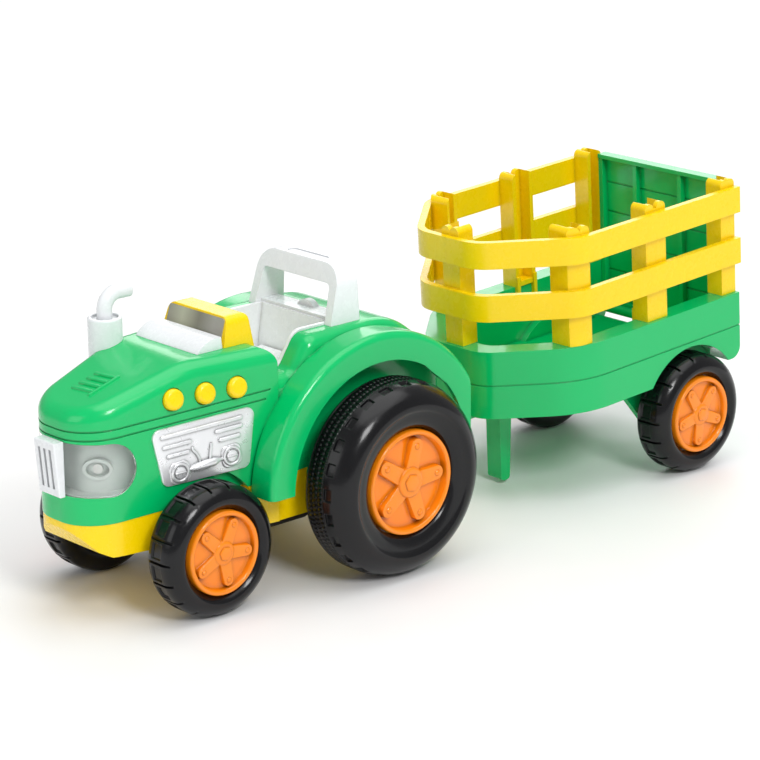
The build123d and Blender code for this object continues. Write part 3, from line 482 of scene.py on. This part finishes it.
def tube(points, radii, sides):
    """A round tube through points, in the local frame, with a radius for each point."""
    verts = []
    faces = []
    path = [Vector(p) for p in points]
    for index, point in enumerate(path):
        ahead = path[min(index + 1, len(path) - 1)] - path[max(index - 1, 0)]
        side = ahead.cross(Vector((0, 0, 1))).normalized()
        lift = side.cross(ahead).normalized()
        for step in range(sides):
            angle = 2 * math.pi * step / sides
            across = side * math.cos(angle) * radii[index]
            verts.append(point + across + lift * math.sin(angle) * radii[index])
    for index in range(len(path) - 1):
        for step in range(sides):
            after = (step + 1) % sides
            low = index * sides
            faces.append((low + step, low + after, low + sides + after, low + sides + step))
    faces.append(tuple(range(sides))[::-1])
    end = (len(path) - 1) * sides
    faces.append(tuple(range(end, end + sides)))
    return verts, faces


# ---------------------------------------------------------------- wheels


def wheel_place(node):
    """Local frame of a wheel: first axis towards the nose, second up, third outwards."""
    low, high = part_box(node)
    middle = (low + high) / 2
    side = 1 if middle.y > 0 else -1
    inner = low.y if side > 0 else high.y
    return Matrix(((1, 0, 0, middle.x), (0, 0, side, inner), (0, 1, 0, middle.z), (0, 0, 0, 1)))


# Rear tyre: teeth round the knurl, mesh stations in each, and pockets round the shoulder
KNURL_TEETH = 126
KNURL_STATIONS = 4
KNURL_DEPTH = 0.55
SHOULDER_POCKETS = 24
POCKET_DEPTH = 1.3
POCKET_SHARE = 0.45

# Rear tyre's section, from the hub's seat round the tread and back:
# (radius, height over the inner side, knurl row, share of a shoulder pocket's depth)
REAR_TYRE = (
    (28.2, 4.0, None, 0), (28.2, 2.2, None, 0), (30.0, 1.0, None, 0), (33.0, 0.5, None, 0),
    (43.5, 0.3, None, 0), (47.0, 0.8, None, 0), (49.4, 1.9, None, 0), (50.9, 3.4, None, 0),
    (51.6, 5.0, None, 0), (51.8, 5.6, "gap", 0), (51.9, 6.1, 0, 0), (52.0, 8.9, 0, 0),
    (52.0, 9.3, "gap", 0), (52.0, 9.8, "gap", 0), (52.0, 10.2, 1, 0), (52.0, 12.9, 1, 0),
    (52.0, 13.3, "gap", 0), (52.0, 13.8, "gap", 0), (52.0, 14.2, 0, 0), (51.9, 16.6, 0, 0),
    (51.8, 17.0, "gap", 0), (51.7, 17.5, None, 0), (51.6, 18.0, None, 0), (51.5, 18.3, None, 1),
    (51.1, 20.2, None, 1), (50.5, 22.0, None, 1), (50.3, 22.5, None, 0), (49.4, 24.4, None, 0),
    (48.0, 26.6, None, 0), (46.2, 28.5, None, 0), (44.2, 29.9, None, 0), (42.0, 30.8, None, 0),
    (40.0, 31.0, None, 0), (38.8, 30.8, None, 0), (38.2, 30.3, None, 0), (37.6, 30.0, None, 0),
    (35.5, 29.6, None, 0), (32.8, 29.0, None, 0), (30.8, 28.2, None, 0), (29.3, 26.8, None, 0),
    (28.6, 25.0, None, 0), (28.3, 22.5, None, 0), (28.2, 19.0, None, 0),
)


def rear_tyre_dent(step, index):
    """How far the rear tyre's surface sinks at a station: knurl rows 0 and 1 are half a tooth apart."""
    row, pocket = REAR_TYRE[index][2:]
    half_tooth = KNURL_STATIONS // 2
    if row == "gap":
        return KNURL_DEPTH
    if row is not None:
        return KNURL_DEPTH if (step + row * half_tooth) % KNURL_STATIONS < half_tooth else 0.0
    stations = KNURL_TEETH * KNURL_STATIONS // SHOULDER_POCKETS
    return POCKET_DEPTH * pocket if step % stations < stations * POCKET_SHARE else 0.0


SMALL_LUGS = 18
LUG_GAP_DEPTH = 1.5
LUG_POCKET_DEPTH = 0.9

# Stations along one lug: share of the lug, 1 in the gap between lugs, 1 in the pocket on top
LUG_STATIONS = (
    (0.00, 1, 0), (0.07, 1, 0), (0.10, 0, 0), (0.20, 0, 0), (0.23, 0, 1), (0.36, 0, 1),
    (0.49, 0, 1), (0.62, 0, 1), (0.75, 0, 1), (0.84, 0, 1), (0.87, 0, 0), (0.97, 0, 0),
)

# Small tyre's section, from the hub's seat round the tread and back:
# (radius, height over the inner side, share of the gap's depth, share of the pocket's depth)
SMALL_TYRE = (
    (22.2, 6.0, 0, 0), (22.2, 2.4, 0, 0), (23.2, 1.3, 0, 0), (25.0, 0.6, 0, 0), (29.4, 0.3, 0, 0),
    (31.6, 0.6, 0, 0), (33.1, 1.4, 0, 0), (33.9, 2.4, 0.6, 0), (34.3, 3.5, 1, 0), (34.4, 4.9, 1, 0),
    (34.4, 5.4, 1, 1), (34.4, 8.0, 1, 1), (34.4, 11.6, 1, 1), (34.4, 12.1, 1, 0), (34.35, 13.6, 1, 0),
    (34.0, 15.2, 1, 0), (33.4, 16.7, 0.8, 0), (32.7, 17.7, 0.25, 0), (31.9, 18.6, 0, 0),
    (31.0, 19.4, 0, 0), (29.8, 20.2, 0, 0), (28.4, 20.8, 0, 0), (27.0, 21.0, 0, 0), (25.8, 20.8, 0, 0),
    (24.8, 20.2, 0, 0), (24.0, 19.3, 0, 0), (23.2, 18.6, 0, 0), (22.6, 17.4, 0, 0), (22.2, 15.0, 0, 0),
)


def small_tyre_mesh():
    """Tyre with square lugs: each lug has a shallow pocket, and gaps run out over the shoulder."""
    verts = []
    for lug in range(SMALL_LUGS):
        for share, gap, pocket in LUG_STATIONS:
            angle = (lug + share) * 2 * math.pi / SMALL_LUGS
            for radius, w, gap_share, pocket_share in SMALL_TYRE:
                sunk = radius - LUG_GAP_DEPTH * gap * gap_share
                sunk -= LUG_POCKET_DEPTH * pocket * pocket_share
                verts.append((sunk * math.cos(angle), sunk * math.sin(angle), w))
    return verts, ring_faces(SMALL_LUGS * len(LUG_STATIONS), len(SMALL_TYRE), closed=True)


def tyre_mesh(kind):
    """The large rear tyre, or the small one of the front and trailer wheels."""
    shape = Shape()
    if kind == "rear":
        profile = [row[:2] for row in REAR_TYRE]
        shape.add(*lathe(profile, KNURL_TEETH * KNURL_STATIONS, rear_tyre_dent, closed=True))
    else:
        shape.add(*small_tyre_mesh())
    return shape


# Hub features, as shares of the hub's radius
HUB_BOSS = 0.31
HEXAGON = 0.175
HEXAGON_CORNER = 0.03
SPOKE_ROOT = 0.17
SPOKE_TIP = 0.145
SPOKE_REACH = 0.84
RIVET_RING = 0.68

# Height of a spoke as a share of the dish's depth, turn of the hexagon, mesh stations round the hub
SPOKE_RISE = 0.72
HEXAGON_TURN = 12
HUB_STATIONS = 96

# A rivet's dome on a hub of radius 24: (radius, height)
RIVET = ((1.5, 0.0), (1.45, 0.35), (1.2, 0.7), (0.75, 0.95), (0.01, 1.05))
RIVET_HUB = 24


def hub_profile(radius, face, floor):
    """Section of a hub from its rim, over the dish, to the middle of the boss."""
    boss = radius * HUB_BOSS
    return (
        (radius - 0.1, face - 9.0), (radius, face - 8.0), (radius, face - 1.2),
        (radius - 0.3, face - 0.4), (radius - 0.9, face), (radius - 1.8, face - 0.05),
        (radius - 2.5, face - 0.5), (radius - 2.8, face - 1.2), (radius - 2.95, floor + 0.9),
        (radius - 3.3, floor + 0.3), (radius - 4.0, floor + 0.05), (radius * 0.68, floor + 0.3),
        (radius * 0.5, floor + 0.7), (boss + 0.9, floor + 0.9), (boss + 0.2, floor + 1.2),
        (boss - 0.1, floor + 2.0), (boss - 0.6, face - 0.9), (boss - 1.2, face - 0.35),
        (boss - 2.0, face - 0.15), (radius * 0.16, face - 0.1), (0.01, face - 0.1),
    )


def add_hexagon(shape, radius, face):
    """A low hexagon with rounded corners on the boss."""
    size = radius * HEXAGON
    corners = [(size * math.cos(a), size * math.sin(a)) for a in arc(0, 300, 5)]
    outline = rounded(corners, radius * HEXAGON_CORNER, 3)
    layers = ((0, face - 0.6), (0, face + 0.3), (0.15, face + 0.6), (0.5, face + 0.75))
    shape.add(*pad(outline, layers), at(0, 0, 0, HEXAGON_TURN))


def add_spokes(shape, radius, floor, top, turn):
    """Tapered spokes with round ends, each with a rivet."""
    start = radius * HUB_BOSS * 0.6
    root = radius * SPOKE_ROOT
    tip = radius * SPOKE_TIP
    reach = radius * SPOKE_REACH
    outline = [(start, -root), (reach - tip, -tip)]
    outline += [(reach - tip + tip * math.cos(a), tip * math.sin(a)) for a in arc(-70, 70, 8)]
    outline += [(reach - tip, tip), (start, root)]
    layers = ((-0.3, floor - 0.2), (0.0, floor + 0.7), (0.12, top - 0.35), (0.4, top), (0.9, top + 0.1))
    rivet = [(r * radius / RIVET_HUB, top - 0.1 + w) for r, w in RIVET]
    ring = radius * RIVET_RING
    for spoke in range(SPOKES):
        angle = 90 + turn + 360 / SPOKES * spoke
        shape.add(*pad(outline, layers), at(0, 0, 0, angle))
        centre = at(ring * math.cos(math.radians(angle)), ring * math.sin(math.radians(angle)))
        shape.add(*lathe(rivet, 20), centre)


def hub_mesh(radius, face, depth, turn):
    """Rim ring, recessed dish, tapered spokes with rivets, and a round boss with a hexagon."""
    shape = Shape()
    floor = face - depth
    shape.add(*lathe(hub_profile(radius, face, floor), HUB_STATIONS))
    add_hexagon(shape, radius, face)
    add_spokes(shape, radius, floor, floor + depth * SPOKE_RISE, turn)
    return shape


def wheel(kind, side, hub):
    """A tyre and its hub, in place of their two CAD nodes."""
    tyre_node = f"{kind}_tyre_{side}"
    hub_node = f"{kind}_hub_{side}"
    place = wheel_place(tyre_node)
    body = body_of[tyre_node]
    finish_piece(f"{tyre_node}_moulded", tyre_mesh(kind), place, body, "tyre_black", [tyre_node])
    finish_piece(f"{hub_node}_moulded", hub_mesh(*hub), place, body, "orange_plastic", [hub_node])


# Hubs: radius, height of the face over the tyre's inner side, depth of the dish, turn of the spokes
HUBS = {
    "front": (22.0, 21.0, 3.6, FRONT_SPOKE_TURN),
    "rear": (27.9, 28.6, 5.2, REAR_SPOKE_TURN),
    "trailer": (22.0, 21.0, 3.6, TRAILER_SPOKE_TURN),
}
for kind, hub in HUBS.items():
    for side in ("left", "right"):
        wheel(kind, side, hub)


# ---------------------------------------------------------------- engine panels


# Panel: height of the plate's skin, turn and width of its bars, and radius of its ports
PANEL_SKIN = 1.3
BAR_RISE = 3.6
BAR_WIDTH = 2.3
PORT_RADIUS = 4.7

# The pipe between the ports: (place along it, radius)
MANIFOLD = (
    (-10.5, 1.1), (-8.8, 1.1), (-7.6, 1.9), (-6.2, 2.2), (-4.6, 2.9), (0.0, 3.1),
    (4.6, 2.9), (6.2, 2.3), (7.4, 1.7), (8.6, 1.2), (10.2, 1.1),
)
MANIFOLD_SIZE = 0.8

# Two thin pipes that rise from the manifold: (place along it, how far the top leans to the tail)
RISERS = ((-3.4, -4.2), (2.4, 0.8))
RISER_RADIUS = 0.75


def panel_place(side):
    """Local frame on the bonnet's side: first axis to the tail, second up, third outwards."""
    low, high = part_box(f"engine_panel_{side}")
    sign = 1 if side == "left" else -1
    front_y = low.y if side == "left" else high.y
    tail = Vector((-math.cos(HOOD_TAPER), sign * math.sin(HOOD_TAPER), 0))
    up = Vector((0, 0, 1))
    out = Vector((math.sin(HOOD_TAPER), sign * math.cos(HOOD_TAPER), 0))
    corner = Matrix.Translation((high.x, front_y, 0))
    return corner @ Matrix((tail, up, out)).transposed().to_4x4()


def ring_port(shape, s, h, radius):
    """A round port in a square boss: a raised ring, a sunk middle and a slotted plug."""
    skin = PANEL_SKIN
    corners = [(-1.25, -1.25), (1.25, -1.25), (1.25, 1.25), (-1.25, 1.25)]
    square = [(x * radius, y * radius) for x, y in rounded(corners, 0.75)]
    boss = ((0, skin - 0.2), (0.1, skin + 0.3), (0.45, skin + 0.55))
    shape.add(*pad(square, boss), at(s, h, 0, 8))
    profile = (
        (radius * 1.12, skin), (radius * 1.1, skin + 1.0), (radius * 1.0, skin + 1.3),
        (radius * 0.88, skin + 1.3), (radius * 0.8, skin + 1.0), (radius * 0.76, skin + 0.6),
        (radius * 0.7, skin + 0.6), (radius * 0.64, skin + 1.05), (radius * 0.5, skin + 1.2),
        (0.01, skin + 1.2),
    )
    shape.add(*lathe(profile, 40), at(s, h))
    slot = ((-0.1, skin + 1.1), (0, skin + 1.45), (0.2, skin + 1.55))
    shape.add(*pad(bar_outline(radius * 1.3, 0.8), slot), at(s, h, 0, 4))


def manifold(shape, left, right):
    """The pipe between the ports, thick in the middle, and two thin pipes that rise from it."""
    skin = PANEL_SKIN
    x, y = (left[0] + right[0]) / 2, (left[1] + right[1]) / 2
    lean = math.degrees(math.atan2(right[1] - left[1], right[0] - left[0]))
    run = [(s, 0.0, skin + 0.1) for s, _ in MANIFOLD]
    radii = [radius * MANIFOLD_SIZE for _, radius in MANIFOLD]
    shape.add(*tube(run, radii, 20), at(x, y, 0, lean))
    for s, bend in RISERS:
        foot = Vector((x + s, y + 1.2, skin))
        steps = ((0, 0, 0), (0.1, 2.5, 0.25), (0.45, 5.2, 0.25), (0.95, 7.6, 0.25), (1, 9.2, -0.1))
        pipe = [foot + Vector((bend * share, rise, out)) for share, rise, out in steps]
        shape.add(*tube(pipe, [RISER_RADIUS] * len(pipe), 12))


def engine_panel(side):
    """Silver plate with bars, two ports and a pipe between them, in raised relief."""
    shape = Shape()
    name = f"engine_panel_{side}"
    low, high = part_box(name)
    end = (high.x - low.x) / MM / math.cos(HOOD_TAPER)
    base = low.z / MM
    crown = high.z / MM
    skin = PANEL_SKIN
    corners = [(6.6, base), (end - 3.6, base + 1.9), (end + 0.2, crown + 0.3), (0.0, crown - 3.0)]
    edge = ((0, 0), (0, skin - 0.45), (0.15, skin - 0.12), (0.5, skin))
    shape.add(*pad(rounded(corners, 4.2, 8), edge))
    bars = ((28.6, crown - 5.6, 47.5), (14.4, crown - 12.0, 17.0), (14.9, crown - 17.0, 13.5),
            (44.0, crown - 8.8, 16.5), (44.4, crown - 13.6, 13.0))
    rod = ((0, skin - 0.1), (0, skin + 0.3), (0.15, skin + 0.75), (0.45, skin + 1.05),
           (0.8, skin + 1.15))
    for s, h, length in bars:
        shape.add(*pad(bar_outline(length, BAR_WIDTH), rod), at(s, h, 0, BAR_RISE))
    left = (15.6, base + 6.6)
    right = (45.4, base + 10.0)
    for s, h in (left, right):
        ring_port(shape, s, h, PORT_RADIUS)
    manifold(shape, left, right)
    place = panel_place(side)
    finish_piece(f"{name}_relief", shape, place, body_of[name], "silver_plate", [name], sharp=35.0)


engine_panel("left")
engine_panel("right")


# ---------------------------------------------------------------- bonnet vents


LOUVRES = 4
LOUVRE_PITCH = 4.9
VENTS_BEHIND_NOSE = 35.8


def hood_height(x):
    """Height of the bonnet's top on the centre line at x, read from the shell itself."""
    shell = frame["nodes"]["body_shell"]
    spot = shell.ray_cast(Vector((x, 0, 1)), Vector((0, 0, -1)))[1]
    return spot.z


def bonnet_vents():
    """Low louvres and a side rail, pressed up out of the sloping bonnet."""
    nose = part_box("body_shell")[1].x / MM
    shape = Shape()
    layers = ((-0.3, -0.4), (0.0, 0.5), (0.25, 1.0), (0.6, 1.15))
    for step in range(LOUVRES):
        shape.add(*pad(bar_outline(15.5, 2.0, 6), layers), at(2.6 + LOUVRE_PITCH * step, 0.0, 0, 96))
    shape.add(*pad(bar_outline(20.5, 1.7, 6), layers), at(9.8, 8.2))
    x = (nose - VENTS_BEHIND_NOSE) * MM
    slope = Matrix.Rotation(HOOD_SLOPE, 4, "Y")
    place = Matrix.Translation((x, 0, hood_height(x))) @ slope
    finish_piece("bonnet_vents", shape, place, body_of["body_shell"], "green_plastic")


bonnet_vents()


# ---------------------------------------------------------------- floor, light and camera


FLOOR_REACH = 6.0
WORLD_STRENGTH = 0.38


def pale_floor():
    m = Nodes("pale_floor")
    drift = m.span(m.noise(3.0, 3.0), 0.3, 0.7, 0.0, 1.0)
    m.link(m.blend(drift, (0.86, 0.86, 0.86), (0.90, 0.90, 0.90)), m.shader.inputs["Base Color"])
    m.link(m.span(m.noise(40.0), 0.3, 0.7, 0.55, 0.75), m.shader.inputs["Roughness"])
    mesh = bpy.data.meshes.new("floor")
    corners = [(x * FLOOR_REACH, y * FLOOR_REACH, 0) for x, y in ((-1, -1), (1, -1), (1, 1), (-1, 1))]
    mesh.from_pydata(corners, [], [(0, 1, 2, 3)])
    mesh.materials.append(m.material)
    floor = bpy.data.objects.new("floor", mesh)
    scene.collection.objects.link(floor)


def softbox(name, where, size, power, target):
    """A square area light at a place, turned towards a target."""
    light = bpy.data.lights.new(name, "AREA")
    light.shape = "SQUARE"
    light.size = size
    light.energy = power
    lamp = bpy.data.objects.new(name, light)
    lamp.location = where
    lamp.rotation_euler = (Vector(target) - Vector(where)).to_track_quat("-Z", "Y").to_euler()
    scene.collection.objects.link(lamp)


def soft_sun(strength, spread):
    """An even light from above, to keep the floor pale further away."""
    light = bpy.data.lights.new("overhead", "SUN")
    light.energy = strength
    light.angle = math.radians(spread)
    lamp = bpy.data.objects.new("overhead", light)
    lamp.rotation_euler = (math.radians(-12), math.radians(-8), 0)
    scene.collection.objects.link(lamp)


def white_world():
    world = bpy.data.worlds.new("studio")
    world.use_nodes = True
    background = world.node_tree.nodes["Background"]
    background.inputs["Color"].default_value = (1.0, 1.0, 1.0, 1.0)
    background.inputs["Strength"].default_value = WORLD_STRENGTH
    scene.world = world


def place_camera():
    azimuth = math.radians(CAMERA_AZIMUTH)
    elevation = math.radians(CAMERA_ELEVATION)
    flat = math.cos(elevation)
    back = Vector((math.sin(azimuth) * flat, -math.cos(azimuth) * flat, math.sin(elevation)))
    right = Vector((0, 0, 1)).cross(back).normalized()
    up = back.cross(right)
    roll = Matrix.Rotation(math.radians(CAMERA_ROLL), 4, "Z")
    turn = Matrix((right, up, back)).transposed().to_4x4() @ roll
    camera_data = bpy.data.cameras.new("camera")
    camera_data.lens = CAMERA_LENS
    camera_data.sensor_width = CAMERA_SENSOR
    camera_data.clip_start = 0.05
    camera_data.clip_end = 30.0
    camera = bpy.data.objects.new("camera", camera_data)
    camera.matrix_world = Matrix.Translation(CAMERA_AT) @ turn
    scene.collection.objects.link(camera)
    scene.camera = camera


pale_floor()
middle = (cad_low + cad_high) / 2
softbox("key", (0.6, 2.0, 1.7), 0.7, 30.0, middle)
softbox("fill", (2.2, -0.2, 1.0), 1.2, 7.0, middle)
softbox("top", (-0.2, 0.1, 2.4), 2.4, 14.0, middle)
soft_sun(1.0, 60.0)
softbox("back", (-1.8, -1.6, 1.5), 1.6, 18.0, middle)
white_world()
scene.view_settings.view_transform = "Standard"
place_camera()
